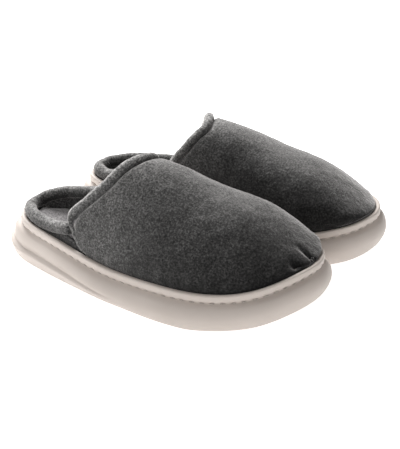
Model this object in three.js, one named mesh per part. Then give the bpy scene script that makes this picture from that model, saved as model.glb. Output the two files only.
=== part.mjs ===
// A pair of closed-toe spa slippers (mules): moulded foam cup soles, padded felt uppers.
// Millimetres, +Z up, +Y towards the toes, +X towards the outer side of the right foot.
// The origin lies on the floor, in the middle of the pair.

import * as THREE from 'three';
import { LoftGeometry } from 'three/addons/geometries/LoftGeometry.js';
import { mergeVertices } from 'three/addons/utils/BufferGeometryUtils.js';

// ---------------------------------------------------------------- driving dimensions

// Outer edge of the sole's rim from above, right foot: heel, outer side, toes, inner side.
const RIM_OUTLINE = [
  [-3.5, 4.6], [13, 16.2], [26, 45], [39, 86], [50, 128], [57.5, 171],
  [56, 208], [46.5, 240], [22, 260], [-6, 268], [-33, 257], [-45.5, 225],
  [-45, 190], [-40, 150], [-34, 110], [-32, 69], [-32, 34], [-22.5, 8.6],
];
const SPINE = [new THREE.Vector2(-3, 42), new THREE.Vector2(5, 212)];

// Lengthwise profiles: [distance from the heel, value].
const RIM_HEIGHT = profile([
  [3, 37], [14, 35.2], [28, 33.9], [60, 32.2], [110, 27.8], [160, 29.4], [215, 33], [266, 47.2],
]);
const SIDE_BULGE = profile([[-8, 9], [40, 5], [120, 9.5], [220, 8], [274, 6.8]]);
const HEEL_FLARE = profile([[-8, 3.5], [40, 3.5], [90, 2], [135, 0]]);
const CROWN_HEIGHT = profile([[95, 78], [135, 70], [175, 57], [215, 44], [245, 20]]);

const TOE_SPRING = 18.4;
const TOE_SPRING_FROM = 186;
const TOE_SPRING_POWER = 1.4;
const HEEL_LIFT = 4;
const HEEL_LIFT_FROM = 20;
const HEEL_LIFT_POWER = 1.5;
const SOLE_LENGTH = 274;

// The side wall: shares of its height with a ring, the step between its two tiers, and its draft.
const WALL_SHARES = [0.1, 0.3, 0.5, 0.75, 0.95];
const TIER_STEP = [0.38, 0.62];
const BULGE_POWER = 0.6;
const WALL_DRAFT = 2;
const FOOT_BULGE = 0.25;
const FOOT_INSET = 4;
const CENTRE = 0.04;

const LIP_HEIGHT = 5.6;
const LIP_ROUND = 1.2;
const LIP_BEVEL = 1.4;
const GROOVE_DEPTH = 1.8;
const GROOVE_TOP = 0.4;
const GROOVE_BOTTOM = 1.8;
const GROOVE_TO_WALL = 2.6;
const CUP_BEVEL = 1;
const CUP_WALL = 4.3;
const CUP_DEPTH = 16;

const GAP = 0.3;
const UPPER_CLEARANCE = 0.5;
const BOARD = 2;
const FELT = 2.2;
const PADDING = 3;
const LINING = 1.6;
const FOOTBED_TOP = profile([[70, 2.5], [150, -4]]);
const FOOTBED_COVER = 2;
const FOOTBED_CLEARANCE = 1.8;

const TOE_START = 245;
const TOE_POWER = 2.2;
const TOE_MARGIN = 0.01;
const ARCH_POWER = 0.88;
const ARCH_LEAN = -14;

// Rear edge of the vamp: [angle round the arch from the outer side, distance from the heel].
const THROAT_EDGE = profile([
  [0, 92], [0.05, 82], [0.12, 76], [0.2, 71.5], [0.3, 73.5], [0.5, 86], [Math.PI / 4, 100],
  [1.05, 107.5], [Math.PI / 2, 118], [Math.PI - 1.05, 113.5], [Math.PI * 0.75, 108.5],
  [Math.PI - 0.5, 98.5], [Math.PI - 0.3, 90], [Math.PI - 0.15, 86], [Math.PI - 0.05, 88], [Math.PI, 94],
]);
const HEM_RADIUS = 3.8;
const HEM_SEAT = 6.8;
const HEM_SEAT_FROM = [0.1, 0.2];
const HEM_FROM = 0.32;

const COLLAR_RADIUS = 5.6;
const COLLAR_SLEEVE = 1.5;
const COLLAR_INSET = 8;
const COLLAR_HEIGHT_OUTER = profile([[12, 4.4], [25, 4.6], [40, 5.4], [60, 8.6], [72, 12.8]]);
const COLLAR_HEIGHT_INNER = profile([
  [12, 4.4], [15, 6], [19, 8.4], [29, 12.4], [45, 16.6], [57, 19.5], [86, 26.6],
]);
const COLLAR_END_OUTER = 67.5;
const COLLAR_END_INNER = 82;
const STRIP_END_OUTER = 87;
const STRIP_END_INNER = 83;
const STRIP_FALL = profile([[64, 0], [88, 10]]);
const STRIP = 2;
const STRIP_CLEARANCE = 0.5;
const STRIP_WAIST = 3;

const THREAD_RADIUS = 0.5;
const THREAD_INSET = 1.2;

const LEFT_OFFSET = new THREE.Vector3(-114, 6, 0);
const LEFT_TURN = THREE.MathUtils.degToRad(-0.7);

// Facets: points round an outline, rows and columns of an arch, sides of a roll.
const OUTLINE_POINTS = 54;
const PLATE_POINTS = 36;
const FINE_POINTS = 360;
const ARCH_ROWS = 9;
const ARCH_COLUMNS = 12;
const TOE_CROWDING = 1.6;
const SIDE_CROWDING = 0.06;
const ROLL_SIDES = 8;
const ROLL_STEPS = 16;
const HEM_SPANS = 14;
const COLLAR_SPANS = 12;
const STRIP_SPANS = 24;
const THREAD_SIDES = 4;

const FINISH = {
  foamSole: { color: 0xd6cdc5, roughness: 0.6 },
  felt: { color: 0x5b5a59, roughness: 1 },
  lining: { color: 0x343435, roughness: 1 },
  fleece: { color: 0x6c6a69, roughness: 1 },
  padding: { color: 0xe4dfd6, roughness: 0.9 },
  board: { color: 0xa98f6d, roughness: 0.85 },
  thread: { color: 0x8d867e, roughness: 0.8 },
};

// ---------------------------------------------------------------- curves

/** A smooth curve through [position, value] pairs, level beyond both ends. */
function profile(pairs) {
  const slopes = pairs.map((pair, i) => {
    const before = pairs[Math.max(i - 1, 0)];
    const after = pairs[Math.min(i + 1, pairs.length - 1)];
    return (after[1] - before[1]) / (after[0] - before[0]);
  });
  return (position) => {
    const last = pairs.length - 1;
    const at = THREE.MathUtils.clamp(position, pairs[0][0], pairs[last][0]);
    const i = Math.min(pairs.findLastIndex((pair) => pair[0] <= at), last - 1);
    const span = pairs[i + 1][0] - pairs[i][0];
    const t = (at - pairs[i][0]) / span;
    const rise = 3 * t * t - 2 * t * t * t;
    const ends = pairs[i][1] * (1 - rise) + pairs[i + 1][1] * rise;
    const tangents = slopes[i] * t * (1 - t) ** 2 - slopes[i + 1] * t * t * (1 - t);
    return ends + span * tangents;
  };
}

const rimCurve = new THREE.CatmullRomCurve3(
  RIM_OUTLINE.map(([x, y]) => new THREE.Vector3(x, y, 0)),
  true,
  'catmullrom',
);

/** The rim's outline moved outwards by an offset, which may vary with the distance from the heel. */
function outline(offset, count) {
  return Array.from({ length: count }, (_, i) => rimPoint(i / count, offset));
}

function rimPoint(t, offset) {
  const point = rimCurve.getPoint(t);
  const tangent = rimCurve.getTangent(t);
  const distance = typeof offset === 'function' ? offset(point.y) : offset;
  return new THREE.Vector2(point.x + tangent.y * distance, point.y - tangent.x * distance);
}

/** Height of the sole's underside: flat in the middle, turned up at the toes and the heel. */
function underside(y) {
  const toe = Math.max(y - TOE_SPRING_FROM, 0) / (SOLE_LENGTH - TOE_SPRING_FROM);
  const heel = Math.max(HEEL_LIFT_FROM - y, 0) / (HEEL_LIFT_FROM + SIDE_BULGE(0));
  return TOE_SPRING * toe ** TOE_SPRING_POWER + HEEL_LIFT * heel ** HEEL_LIFT_POWER;
}

function nearestOnSpine(point) {
  const along = SPINE[1].clone().sub(SPINE[0]);
  const t = point.clone().sub(SPINE[0]).dot(along) / along.lengthSq();
  return SPINE[0].clone().addScaledVector(along, THREE.MathUtils.clamp(t, 0, 1));
}

/** A closed ring of points at an offset from the rim, drawn in towards the spine by a share. */
function ring(offset, height, count, share = 1) {
  return outline(offset, count).map((point) => {
    const centre = nearestOnSpine(point);
    const drawn = centre.lerp(point, share);
    return new THREE.Vector3(drawn.x, drawn.y, height(drawn.y));
  });
}

const fromRim = (drop) => (y) => RIM_HEIGHT(y) + drop;

// ---------------------------------------------------------------- closed solids

/** Merges equal points and drops the faces that this leaves without area. */
function tidy(geometry) {
  const points = new THREE.BufferGeometry();
  points.setAttribute('position', geometry.getAttribute('position'));
  points.setIndex(geometry.getIndex());
  const merged = mergeVertices(points, 1e-4);
  const corners = merged.getIndex().array;
  const kept = [];
  for (let i = 0; i < corners.length; i += 3) {
    const [a, b, c] = corners.subarray(i, i + 3);
    if (a !== b && b !== c && c !== a) kept.push(a, b, c);
  }
  merged.setIndex(kept);
  return merged;
}

/** A closed sheet between two grids of points, with strips along all four borders. */
function sheet(outer, inner) {
  const rows = outer.length;
  const columns = outer[0].length;
  const points = [...outer.flat(), ...inner.flat()];
  const outerAt = (i, j) => i * columns + j;
  const innerAt = (i, j) => rows * columns + outerAt(i, j);
  const faces = [];
  const quad = (a, b, c, d) => faces.push(a, b, c, a, c, d);
  for (let i = 0; i < rows - 1; i += 1) {
    for (let j = 0; j < columns - 1; j += 1) {
      quad(outerAt(i, j), outerAt(i + 1, j), outerAt(i + 1, j + 1), outerAt(i, j + 1));
      quad(innerAt(i, j), innerAt(i, j + 1), innerAt(i + 1, j + 1), innerAt(i + 1, j));
    }
    quad(outerAt(i, 0), innerAt(i, 0), innerAt(i + 1, 0), outerAt(i + 1, 0));
    const end = columns - 1;
    quad(outerAt(i, end), outerAt(i + 1, end), innerAt(i + 1, end), innerAt(i, end));
  }
  for (let j = 0; j < columns - 1; j += 1) {
    quad(outerAt(0, j), outerAt(0, j + 1), innerAt(0, j + 1), innerAt(0, j));
    const end = rows - 1;
    quad(outerAt(end, j), innerAt(end, j), innerAt(end, j + 1), outerAt(end, j + 1));
  }
  const geometry = new THREE.BufferGeometry().setFromPoints(points);
  geometry.setIndex(faces);
  return tidy(geometry);
}

/** A closed solid through rings of points, whose first and last rings are laced shut side to side. */
function capped(rings) {
  const count = rings[0].length;
  const solid = new LoftGeometry(rings);
  const faces = Array.from(solid.getIndex().array);
  const first = 0;
  const last = (rings.length - 1) * (count + 1);
  for (let i = 0; i < count / 2; i += 1) {
    const [a, b, c, d] = [i, i + 1, count - i - 1, count - i];
    faces.push(last + a, last + b, last + c, last + a, last + c, last + d);
    faces.push(first + a, first + c, first + b, first + a, first + d, first + c);
  }
  solid.setIndex(faces);
  return tidy(solid);
}

/** A flat shape swept along a curve, closed at both ends. */
function roll(shape, curve) {
  const options = { steps: ROLL_STEPS, extrudePath: curve, curveSegments: ROLL_SIDES / 2 };
  return tidy(new THREE.ExtrudeGeometry(shape, options));
}

function disc(radius, hole = 0) {
  const shape = new THREE.Shape().absarc(0, 0, radius, 0, Math.PI * 2);
  if (hole > 0) shape.holes.push(new THREE.Path().absarc(0, 0, hole, 0, Math.PI * 2, true));
  return shape;
}

/** The same solid for the other foot: mirrored in X, with its faces turned to point out again. */
function mirrored(geometry) {
  const other = geometry.clone().scale(-1, 1, 1);
  const corners = other.getIndex().array;
  for (let i = 0; i < corners.length; i += 3) {
    [corners[i], corners[i + 1]] = [corners[i + 1], corners[i]];
  }
  return other;
}

// ---------------------------------------------------------------- sole and footbed

/** One ring of the sole's side wall, at a share of the height between underside and groove. */
function wallRing(share) {
  const swell = Math.sin(Math.PI * share) ** BULGE_POWER;
  const lowTier = THREE.MathUtils.smoothstep(1 - share, ...TIER_STEP);
  const offset = (y) => {
    const flare = HEEL_FLARE(y) * lowTier;
    return SIDE_BULGE(y) * swell + flare - WALL_DRAFT * (1 - share);
  };
  const height = (y) => {
    const top = RIM_HEIGHT(y) - LIP_HEIGHT - GROOVE_TO_WALL;
    return THREE.MathUtils.lerp(underside(y), top, share);
  };
  return ring(offset, height, OUTLINE_POINTS);
}

/** Foam moulding: flat underside, bulging side wall, lip round the top and a cup inside it. */
function outsole() {
  const foot = (y) => SIDE_BULGE(y) * FOOT_BULGE + HEEL_FLARE(y) - FOOT_INSET;
  const upTo = (offset, drop) => ring(offset, fromRim(drop), OUTLINE_POINTS);
  const rings = [
    ring(foot, underside, OUTLINE_POINTS, CENTRE),
    ring(foot, underside, OUTLINE_POINTS, 0.5),
    ring(foot, underside, OUTLINE_POINTS),
    ...WALL_SHARES.map(wallRing),
    upTo(-GROOVE_DEPTH, -LIP_HEIGHT - GROOVE_BOTTOM),
    upTo(-GROOVE_DEPTH, -LIP_HEIGHT - GROOVE_TOP),
    upTo(0, -LIP_HEIGHT),
    upTo(0, -LIP_ROUND),
    upTo(-LIP_BEVEL, 0),
    upTo(CUP_BEVEL - CUP_WALL, 0),
    upTo(-CUP_WALL, -LIP_ROUND),
    upTo(-CUP_WALL, -CUP_DEPTH),
    ring(-CUP_WALL, fromRim(-CUP_DEPTH), OUTLINE_POINTS, 0.5),
    ring(-CUP_WALL, fromRim(-CUP_DEPTH), OUTLINE_POINTS, CENTRE),
  ];
  return capped(rings);
}

/** A plate that lies in the cup, between two heights over the rim that may change lengthwise. */
function plate(inset, low, high) {
  const layer = (height, share) => {
    return ring(-inset, (y) => RIM_HEIGHT(y) + height(y), PLATE_POINTS, share);
  };
  return capped([
    layer(low, CENTRE), layer(low, 0.5), layer(low, 1),
    layer(high, 1), layer(high, 0.5), layer(high, CENTRE),
  ]);
}

const boardBottom = GAP - CUP_DEPTH;
const boardTop = boardBottom + BOARD;
const upperInset = CUP_WALL + UPPER_CLEARANCE;
const footbedInset = upperInset + FELT + PADDING + LINING + 2 * GAP + FOOTBED_CLEARANCE;
const level = (height) => () => height;
const underFootbedTop = (drop) => (y) => FOOTBED_TOP(y) - drop;
const foamTop = underFootbedTop(FOOTBED_COVER + GAP);

/** Sewing thread that runs round in the groove under the lip. */
function soleThread() {
  const drop = -LIP_HEIGHT - (GROOVE_TOP + GROOVE_BOTTOM) / 2;
  const sections = Array.from({ length: OUTLINE_POINTS + 1 }, (_, i) => {
    const t = (i % OUTLINE_POINTS) / OUTLINE_POINTS;
    return Array.from({ length: THREAD_SIDES }, (__, k) => {
      const turn = (k / THREAD_SIDES) * Math.PI * 2;
      const point = rimPoint(t, THREAD_RADIUS * (Math.cos(turn) - THREAD_INSET));
      const z = RIM_HEIGHT(rimPoint(t, 0).y) + drop + THREAD_RADIUS * Math.sin(turn);
      return new THREE.Vector3(point.x, point.y, z);
    });
  });
  return tidy(new LoftGeometry(sections.reverse()));
}

// ---------------------------------------------------------------- upper

/** The form of one layer of the arch: its width at any station, and where it ends at the toes. */
function archForm(inset) {
  const samples = outline(-inset, FINE_POINTS);
  const end = Math.max(...samples.map((point) => point.y)) - TOE_MARGIN;
  const width = (y) => {
    const crossings = [];
    samples.forEach((point, i) => {
      const next = samples[(i + 1) % FINE_POINTS];
      if ((point.y > y) === (next.y > y)) return;
      crossings.push(THREE.MathUtils.mapLinear(y, point.y, next.y, point.x, next.x));
    });
    const outerSide = Math.max(...crossings);
    const innerSide = Math.min(...crossings);
    return { middle: (outerSide + innerSide) / 2, half: (outerSide - innerSide) / 2 };
  };
  return { inset, end, width };
}

/** A point of a layer of the arch, at a station and an angle from the outer side. */
function archPoint(form, y, angle) {
  const { middle, half } = form.width(y);
  const tail = THREE.MathUtils.clamp((y - TOE_START) / (form.end - TOE_START), 0, 1);
  const fullness = Math.sqrt(1 - tail ** TOE_POWER);
  const crown = (CROWN_HEIGHT(y) - form.inset + upperInset) * fullness;
  const across = Math.cos(angle);
  const up = Math.max(Math.sin(angle), 0);
  const x = middle + half * Math.sign(across) * Math.abs(across) ** ARCH_POWER;
  const z = RIM_HEIGHT(y) + crown * up ** ARCH_POWER;
  return new THREE.Vector3(x + ARCH_LEAN * up * fullness, y, z);
}

/** Where a layer starts: on the throat edge at the sides, ahead of the hem over the instep. */
function layerStart(angle) {
  const fromSide = Math.min(angle, Math.PI - angle);
  const hem = HEM_SEAT * THREE.MathUtils.smoothstep(fromSide, ...HEM_SEAT_FROM);
  return THROAT_EDGE(angle) + hem;
}

/** One surface of the vamp: arches from the throat to the toes, with feet down in the cup. */
function archGrid(inset) {
  const form = archForm(inset);
  const angles = Array.from({ length: ARCH_COLUMNS + 1 }, (_, j) => {
    const t = j / ARCH_COLUMNS;
    return Math.PI * (t - SIDE_CROWDING * Math.sin(2 * Math.PI * t));
  });
  return Array.from({ length: ARCH_ROWS + 1 }, (_, i) => {
    const reach = 1 - (1 - i / ARCH_ROWS) ** TOE_CROWDING;
    const station = (angle) => THREE.MathUtils.lerp(layerStart(angle), form.end, reach);
    const arch = angles.map((angle) => archPoint(form, station(angle), angle));
    const foot = (point) => point.clone().setZ(RIM_HEIGHT(point.y) + boardTop + GAP);
    return [foot(arch[0]), ...arch, foot(arch[ARCH_COLUMNS])];
  });
}

function archLayer(inset, thickness) {
  return sheet(archGrid(inset), archGrid(inset + thickness));
}

/** Rolled hem round the throat, over the instep from one side to the other. */
function hem() {
  const form = archForm(upperInset + (FELT + PADDING + LINING) / 2);
  const points = Array.from({ length: HEM_SPANS + 1 }, (_, i) => {
    const angle = THREE.MathUtils.lerp(HEM_FROM, Math.PI - HEM_FROM, i / HEM_SPANS);
    return archPoint(form, THROAT_EDGE(angle), angle);
  });
  return roll(disc(HEM_RADIUS), new THREE.CatmullRomCurve3(points));
}

/** Points round the heel at an inset, from the inner side's end to the outer side's end. */
function roundHeel(inset, innerEnd, outerEnd, count) {
  const fromHeel = Array.from({ length: FINE_POINTS / 4 }, (_, i) => i / FINE_POINTS);
  const reach = (side, end) => fromHeel.findLast((t) => rimPoint((1 + side * t) % 1, -inset).y < end);
  const outer = reach(1, outerEnd);
  const inner = reach(-1, innerEnd);
  return Array.from({ length: count + 1 }, (_, i) => {
    const t = THREE.MathUtils.lerp(-inner, outer, i / count);
    return rimPoint((1 + t) % 1, -inset);
  });
}

/** Height of the collar's middle over the rim. */
function collarHeight(point) {
  const onOuterSide = point.x > nearestOnSpine(point).x;
  return onOuterSide ? COLLAR_HEIGHT_OUTER(point.y) : COLLAR_HEIGHT_INNER(point.y);
}

function collarPath() {
  const points = roundHeel(COLLAR_INSET, COLLAR_END_INNER, COLLAR_END_OUTER, COLLAR_SPANS).map((point) => {
    const z = RIM_HEIGHT(point.y) + collarHeight(point);
    return new THREE.Vector3(point.x, point.y, z);
  });
  return new THREE.CatmullRomCurve3(points);
}

/** Wall of fabric round the heel, from the cup up to the underside of the collar. */
function heelStrip() {
  const top = (point) => {
    const fall = point.x > nearestOnSpine(point).x ? STRIP_FALL(point.y) : 0;
    return collarHeight(point) - COLLAR_RADIUS - STRIP_CLEARANCE - fall;
  };
  const wall = (inset) => roundHeel(inset, STRIP_END_INNER, STRIP_END_OUTER, STRIP_SPANS).map((point) => {
    const heights = [boardTop + GAP, -STRIP_WAIST, top(point)];
    return heights.map((z) => new THREE.Vector3(point.x, point.y, RIM_HEIGHT(point.y) + z));
  });
  return sheet(wall(upperInset), wall(upperInset + STRIP));
}

// ---------------------------------------------------------------- the pair

const paddingInset = upperInset + FELT + GAP;
const liningInset = paddingInset + PADDING + GAP;

const PIECES = [
  ['outsole', outsole(), FINISH.foamSole],
  ['sole_thread', soleThread(), FINISH.thread],
  ['insole_board', plate(upperInset, level(boardBottom), level(boardTop)), FINISH.board],
  ['footbed_foam', plate(footbedInset, level(boardTop + GAP), foamTop), FINISH.padding],
  ['footbed_cover', plate(footbedInset, underFootbedTop(FOOTBED_COVER), underFootbedTop(0)), FINISH.fleece],
  ['vamp_felt', archLayer(upperInset, FELT), FINISH.felt],
  ['vamp_padding', archLayer(paddingInset, PADDING), FINISH.padding],
  ['vamp_lining', archLayer(liningInset, LINING), FINISH.lining],
  ['throat_hem', hem(), FINISH.felt],
  ['heel_strip', heelStrip(), FINISH.felt],
  ['heel_collar', roll(disc(COLLAR_RADIUS, COLLAR_RADIUS - COLLAR_SLEEVE), collarPath()), FINISH.felt],
  ['collar_foam', roll(disc(COLLAR_RADIUS - COLLAR_SLEEVE - GAP), collarPath()), FINISH.padding],
];

function slipper(side, shape) {
  const group = new THREE.Group();
  PIECES.forEach(([name, geometry, finish]) => {
    const material = new THREE.MeshStandardMaterial({ ...finish, metalness: 0 });
    const mesh = new THREE.Mesh(shape(geometry), material);
    mesh.name = `${side}_${name}`;
    group.add(mesh);
  });
  return group;
}

const right = slipper('right', (geometry) => geometry);
const left = slipper('left', mirrored);
left.position.copy(LEFT_OFFSET);
left.rotation.z = LEFT_TURN;

const pair = new THREE.Group();
pair.add(right, left);

const middle = new THREE.Box3().setFromObject(pair, true).getCenter(new THREE.Vector3());
pair.position.set(-middle.x, -middle.y, 0);

export default pair;
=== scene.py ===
"""A pair of closed-toe spa slippers: padded felt mules on moulded foam cup soles.

Every piece is worked out in millimetres in the right foot's own frame, with X to the outer side,
Y towards the toes and Z up. A Placement then puts it where the CAD slipper stands, in metres, and
mirrors the left one.
"""
import logging
import math
from dataclasses import dataclass, field
from enum import Enum
from functools import partial
from typing import Callable, Optional, Sequence

import bmesh
import bpy
import numpy as np
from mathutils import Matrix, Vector, noise


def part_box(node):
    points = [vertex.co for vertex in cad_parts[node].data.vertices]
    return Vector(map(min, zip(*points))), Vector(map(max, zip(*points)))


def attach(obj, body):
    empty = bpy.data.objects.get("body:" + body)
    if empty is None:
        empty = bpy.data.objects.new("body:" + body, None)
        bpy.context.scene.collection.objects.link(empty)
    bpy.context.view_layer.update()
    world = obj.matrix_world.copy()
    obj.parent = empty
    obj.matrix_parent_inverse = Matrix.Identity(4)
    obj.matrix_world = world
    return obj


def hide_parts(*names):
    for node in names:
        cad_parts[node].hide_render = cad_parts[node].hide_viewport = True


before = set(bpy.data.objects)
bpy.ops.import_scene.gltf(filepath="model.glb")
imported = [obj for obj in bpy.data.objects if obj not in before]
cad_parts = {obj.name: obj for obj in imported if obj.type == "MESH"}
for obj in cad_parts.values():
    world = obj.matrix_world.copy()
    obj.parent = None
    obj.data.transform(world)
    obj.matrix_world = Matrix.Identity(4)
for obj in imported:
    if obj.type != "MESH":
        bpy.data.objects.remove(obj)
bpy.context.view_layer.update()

LOG = logging.getLogger("spa_slippers")
MILLIMETRE = 0.001
MERGE = 2e-5
PAINTED_SHADE_ATTRIBUTE = "nap_and_painted_shade"
# The felt's colour is painted paler where its surface faces this way, close to the main light's direction,
# and painted darker where it faces away.
# It deepens the studio's shading: it isn't known to be a property of the wool.
PAINTED_LIGHT_DIRECTION = Vector((-0.42, -0.5, 0.76))
PAINTED_SHADE_RANGE = 1.43
INSTEP = (0.0, 150.0, 0.0)
HEEL_SEAT = (0.0, 50.0, 30.0)
Colour = tuple[float, float, float]
Triple = tuple[float, float, float]
Pairs = tuple[tuple[float, float], ...]
Amount = np.ndarray | float
Socket = bpy.types.NodeSocket


# ---------------------------------------------------------------- choices


class Side(Enum):
    """Which foot a slipper is for."""

    RIGHT = "right"
    LEFT = "left"


class Slot(Enum):
    """The record's material slots."""

    FOAM_SOLE = "foam_sole"
    FELT = "felt"
    LINING = "lining"
    FLEECE = "fleece"
    PADDING = "padding"
    BOARD = "board"
    THREAD = "thread"


# ---------------------------------------------------------------- curves and forms


@dataclass(frozen=True)
class Profile:
    """A smooth curve through (position, value) pairs, level beyond both ends."""

    pairs: Pairs

    def __call__(self, position: np.ndarray) -> np.ndarray:
        """Reads the curve.

        Args:
            position: one number or an array of positions.

        Returns:
            The values there, as an array of the same shape.
        """
        places = np.array([pair[0] for pair in self.pairs])
        values = np.array([pair[1] for pair in self.pairs])
        before = np.maximum(np.arange(len(places)) - 1, 0)
        after = np.minimum(np.arange(len(places)) + 1, len(places) - 1)
        slopes = (values[after] - values[before]) / (places[after] - places[before])
        at = np.clip(np.asarray(position, float), places[0], places[-1])
        i = np.clip(np.searchsorted(places, at, side="right") - 1, 0, len(places) - 2)
        span = places[i + 1] - places[i]
        t = (at - places[i]) / span
        rise = 3 * t**2 - 2 * t**3
        ends = values[i] * (1 - rise) + values[i + 1] * rise
        return ends + span * (slopes[i] * t * (1 - t) ** 2 - slopes[i + 1] * t**2 * (1 - t))


# How much paler the fabrics are along the slipper.
# It is painted light: palest at the instep and darkest at the toes, where the light falls off.
PAINTED_LIGHT_ALONG = Profile(((50, 0.18), (105, 0.42), (150, 0.15), (205, 0.06), (255, -0.14)))


def smoothstep(value: np.ndarray, low: float, high: float) -> np.ndarray:
    """Rises smoothly from 0 at low to 1 at high."""
    t = np.clip((np.asarray(value, float) - low) / (high - low), 0, 1)
    return t * t * (3 - 2 * t)


def turn(points: np.ndarray, angle: float) -> np.ndarray:
    """Turns points about the Z axis.

    Args:
        points: an array of (x, y, z) points.
        angle: the turn in radians.

    Returns:
        The turned points.
    """
    c, s = math.cos(angle), math.sin(angle)
    x, y, z = np.moveaxis(points, -1, 0)
    return np.stack([c * x - s * y, s * x + c * y, z], -1)


@dataclass(frozen=True)
class Last:
    """The form that both slippers are made on: the rim from above, and the profiles along its length."""

    outline: Pairs = (
        (-3.5, 4.6), (13, 16.2), (26, 45), (39, 86), (50, 128), (57.5, 171),
        (56, 208), (46.5, 240), (22, 260), (-6, 268), (-33, 257), (-45.5, 225),
        (-45, 190), (-40, 150), (-34, 110), (-32, 69), (-32, 34), (-22.5, 8.6),
    )
    spine: tuple[tuple[float, float], tuple[float, float]] = ((-3, 42), (5, 212))
    rim_height: Profile = Profile((
        (3, 37), (14, 35.2), (28, 33.9), (60, 32.2), (110, 27.8), (160, 29.4), (215, 33), (266, 47.2),
    ))
    side_bulge: Profile = Profile(((-8, 9), (40, 5), (120, 9.5), (220, 8), (274, 6.8)))
    heel_flare: Profile = Profile(((-8, 3.5), (40, 3.5), (90, 2), (135, 0)))
    crown_height: Profile = Profile(((95, 78), (135, 70), (175, 57), (215, 44), (245, 20.5), (264, 9)))
    toe_spring: float = 18.4
    toe_spring_from: float = 186
    heel_lift: float = 4
    heel_lift_from: float = 20
    length: float = 274
    lip_height: float = 5.6
    cup_wall: float = 4.3
    cup_depth: float = 16
    toe_start: float = 232
    toe_power: float = 2.8
    arch_power: float = 0.88
    arch_lean: float = -14

    def rim(self, t: np.ndarray, offset: np.ndarray | float | Callable = 0.0) -> np.ndarray:
        """Points on the rim's outline from above, moved outwards.

        Args:
            t: shares of the way round, from the heel by the outer side.
            offset: how far outwards, or a function of the distance from the heel.

        Returns:
            An array of (x, y) points.
        """
        knots = np.array(self.outline, float)
        count = len(knots)
        place = (np.asarray(t, float) % 1) * count
        i = place.astype(int) % count
        w = (place - place.astype(int))[..., None]
        p0, p1, p2, p3 = (knots[(i + k) % count] for k in (-1, 0, 1, 2))
        a, b, c = -p0 + p2, 2 * p0 - 5 * p1 + 4 * p2 - p3, -p0 + 3 * p1 - 3 * p2 + p3
        point = 0.5 * (2 * p1 + a * w + b * w**2 + c * w**3)
        tangent = 0.5 * (a + 2 * b * w + 3 * c * w**2)
        tangent /= np.linalg.norm(tangent, axis=-1, keepdims=True)
        distance = offset(point[..., 1]) if callable(offset) else offset
        distance = np.asarray(distance, float)[..., None]
        return point + np.stack([tangent[..., 1], -tangent[..., 0]], -1) * distance

    def arc(self, t: np.ndarray) -> np.ndarray:
        """Distance along the rim from the heel.

        Args:
            t: shares of the way round.

        Returns:
            The length of the rim up to each share, in millimetres.
        """
        fine = np.linspace(0, 1, 2001)
        steps = np.linalg.norm(np.diff(self.rim(fine), axis=0), axis=1)
        return np.interp(t, fine, np.concatenate([[0], np.cumsum(steps)]))

    def towards_spine(self, points: np.ndarray) -> np.ndarray:
        """Finds the nearest points on the spine, from above.

        Args:
            points: an array of (x, y) points.

        Returns:
            An (x, y) point on the spine for each.
        """
        start, end = (np.array(p, float) for p in self.spine)
        along = end - start
        share = np.clip(((points - start) @ along) / (along @ along), 0, 1)
        return start + share[..., None] * along

    def underside(self, y: np.ndarray) -> np.ndarray:
        """Height of the sole's underside, turned up at the toes and the heel.

        Args:
            y: stations from the heel.

        Returns:
            The height at each station.
        """
        toe = np.maximum(y - self.toe_spring_from, 0) / (self.length - self.toe_spring_from)
        heel = np.maximum(self.heel_lift_from - y, 0) / (self.heel_lift_from + float(self.side_bulge(0)))
        return self.toe_spring * toe**1.4 + self.heel_lift * heel**1.5

    def chains(self, inset: float) -> tuple[np.ndarray, np.ndarray]:
        """Splits the rim into its two sides.

        Args:
            inset: how far inside the rim's edge they run.

        Returns:
            The outer and the inner side, each as (x, y) points from the heel to the toes.
        """
        points = self.rim(np.linspace(0, 1, 1441)[:-1], -inset)
        first, last = int(np.argmin(points[:, 1])), int(np.argmax(points[:, 1]))
        round_from = np.roll(points, -first, axis=0)
        split = (last - first) % len(points)
        outer = round_from[: split + 1]
        inner = np.concatenate([round_from[:1], round_from[split:][::-1]])
        return outer, inner

    def arch(self, y: np.ndarray, angle: np.ndarray, inset: float, depth: float = 0.0) -> np.ndarray:
        """Points on the arch over the foot.

        Args:
            y: stations from the heel.
            angle: angles round the arch from the outer side, 0 to pi.
            inset: how far inside the rim's edge the arch stands.
            depth: how far under the upper's outer surface the crown lies.

        Returns:
            An array of (x, y, z) points.
        """
        outer, inner = self.chains(inset)
        end = min(outer[-1, 1], inner[-1, 1]) - 0.01
        y = np.minimum(y, end)
        right = np.interp(y, outer[:, 1], outer[:, 0])
        left = np.interp(y, np.maximum.accumulate(inner[:, 1]), inner[:, 0])
        tail = np.clip((y - self.toe_start) / (end - self.toe_start), 0, 1)
        fullness = np.sqrt(1 - tail**self.toe_power)
        crown = (self.crown_height(y) - depth) * fullness
        across, up = np.cos(angle), np.maximum(np.sin(angle), 0)
        x = (right + left) / 2 + (right - left) / 2 * np.sign(across) * np.abs(across) ** self.arch_power
        z = self.rim_height(y) + crown * up**self.arch_power
        return np.stack([x + self.arch_lean * up * fullness, y, z], -1)

    def end(self, inset: float) -> float:
        """The furthest station that an arch at an inset reaches."""
        outer, inner = self.chains(inset)
        return min(outer[-1, 1], inner[-1, 1]) - 0.01

    def wall_offset(self, y: np.ndarray, share: float) -> np.ndarray:
        """How far the CAD sole's side wall stands out at a share of its height."""
        flare = self.heel_flare(y) * smoothstep(1 - share, 0.38, 0.62)
        return self.side_bulge(y) * math.sin(math.pi * share) ** 0.6 + flare - 2 * (1 - share)

    def widest(self) -> np.ndarray:
        """The points of the CAD sole's side wall, which set its box from above.

        Returns:
            An array of (x, y, z) points, all at the floor.
        """
        t = np.arange(54) / 54
        shares = (0.1, 0.3, 0.5, 0.75, 0.95)
        flat = np.concatenate([self.rim(t, lambda y, s=share: self.wall_offset(y, s)) for share in shares])
        return np.column_stack([flat, np.zeros(len(flat))])


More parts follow.
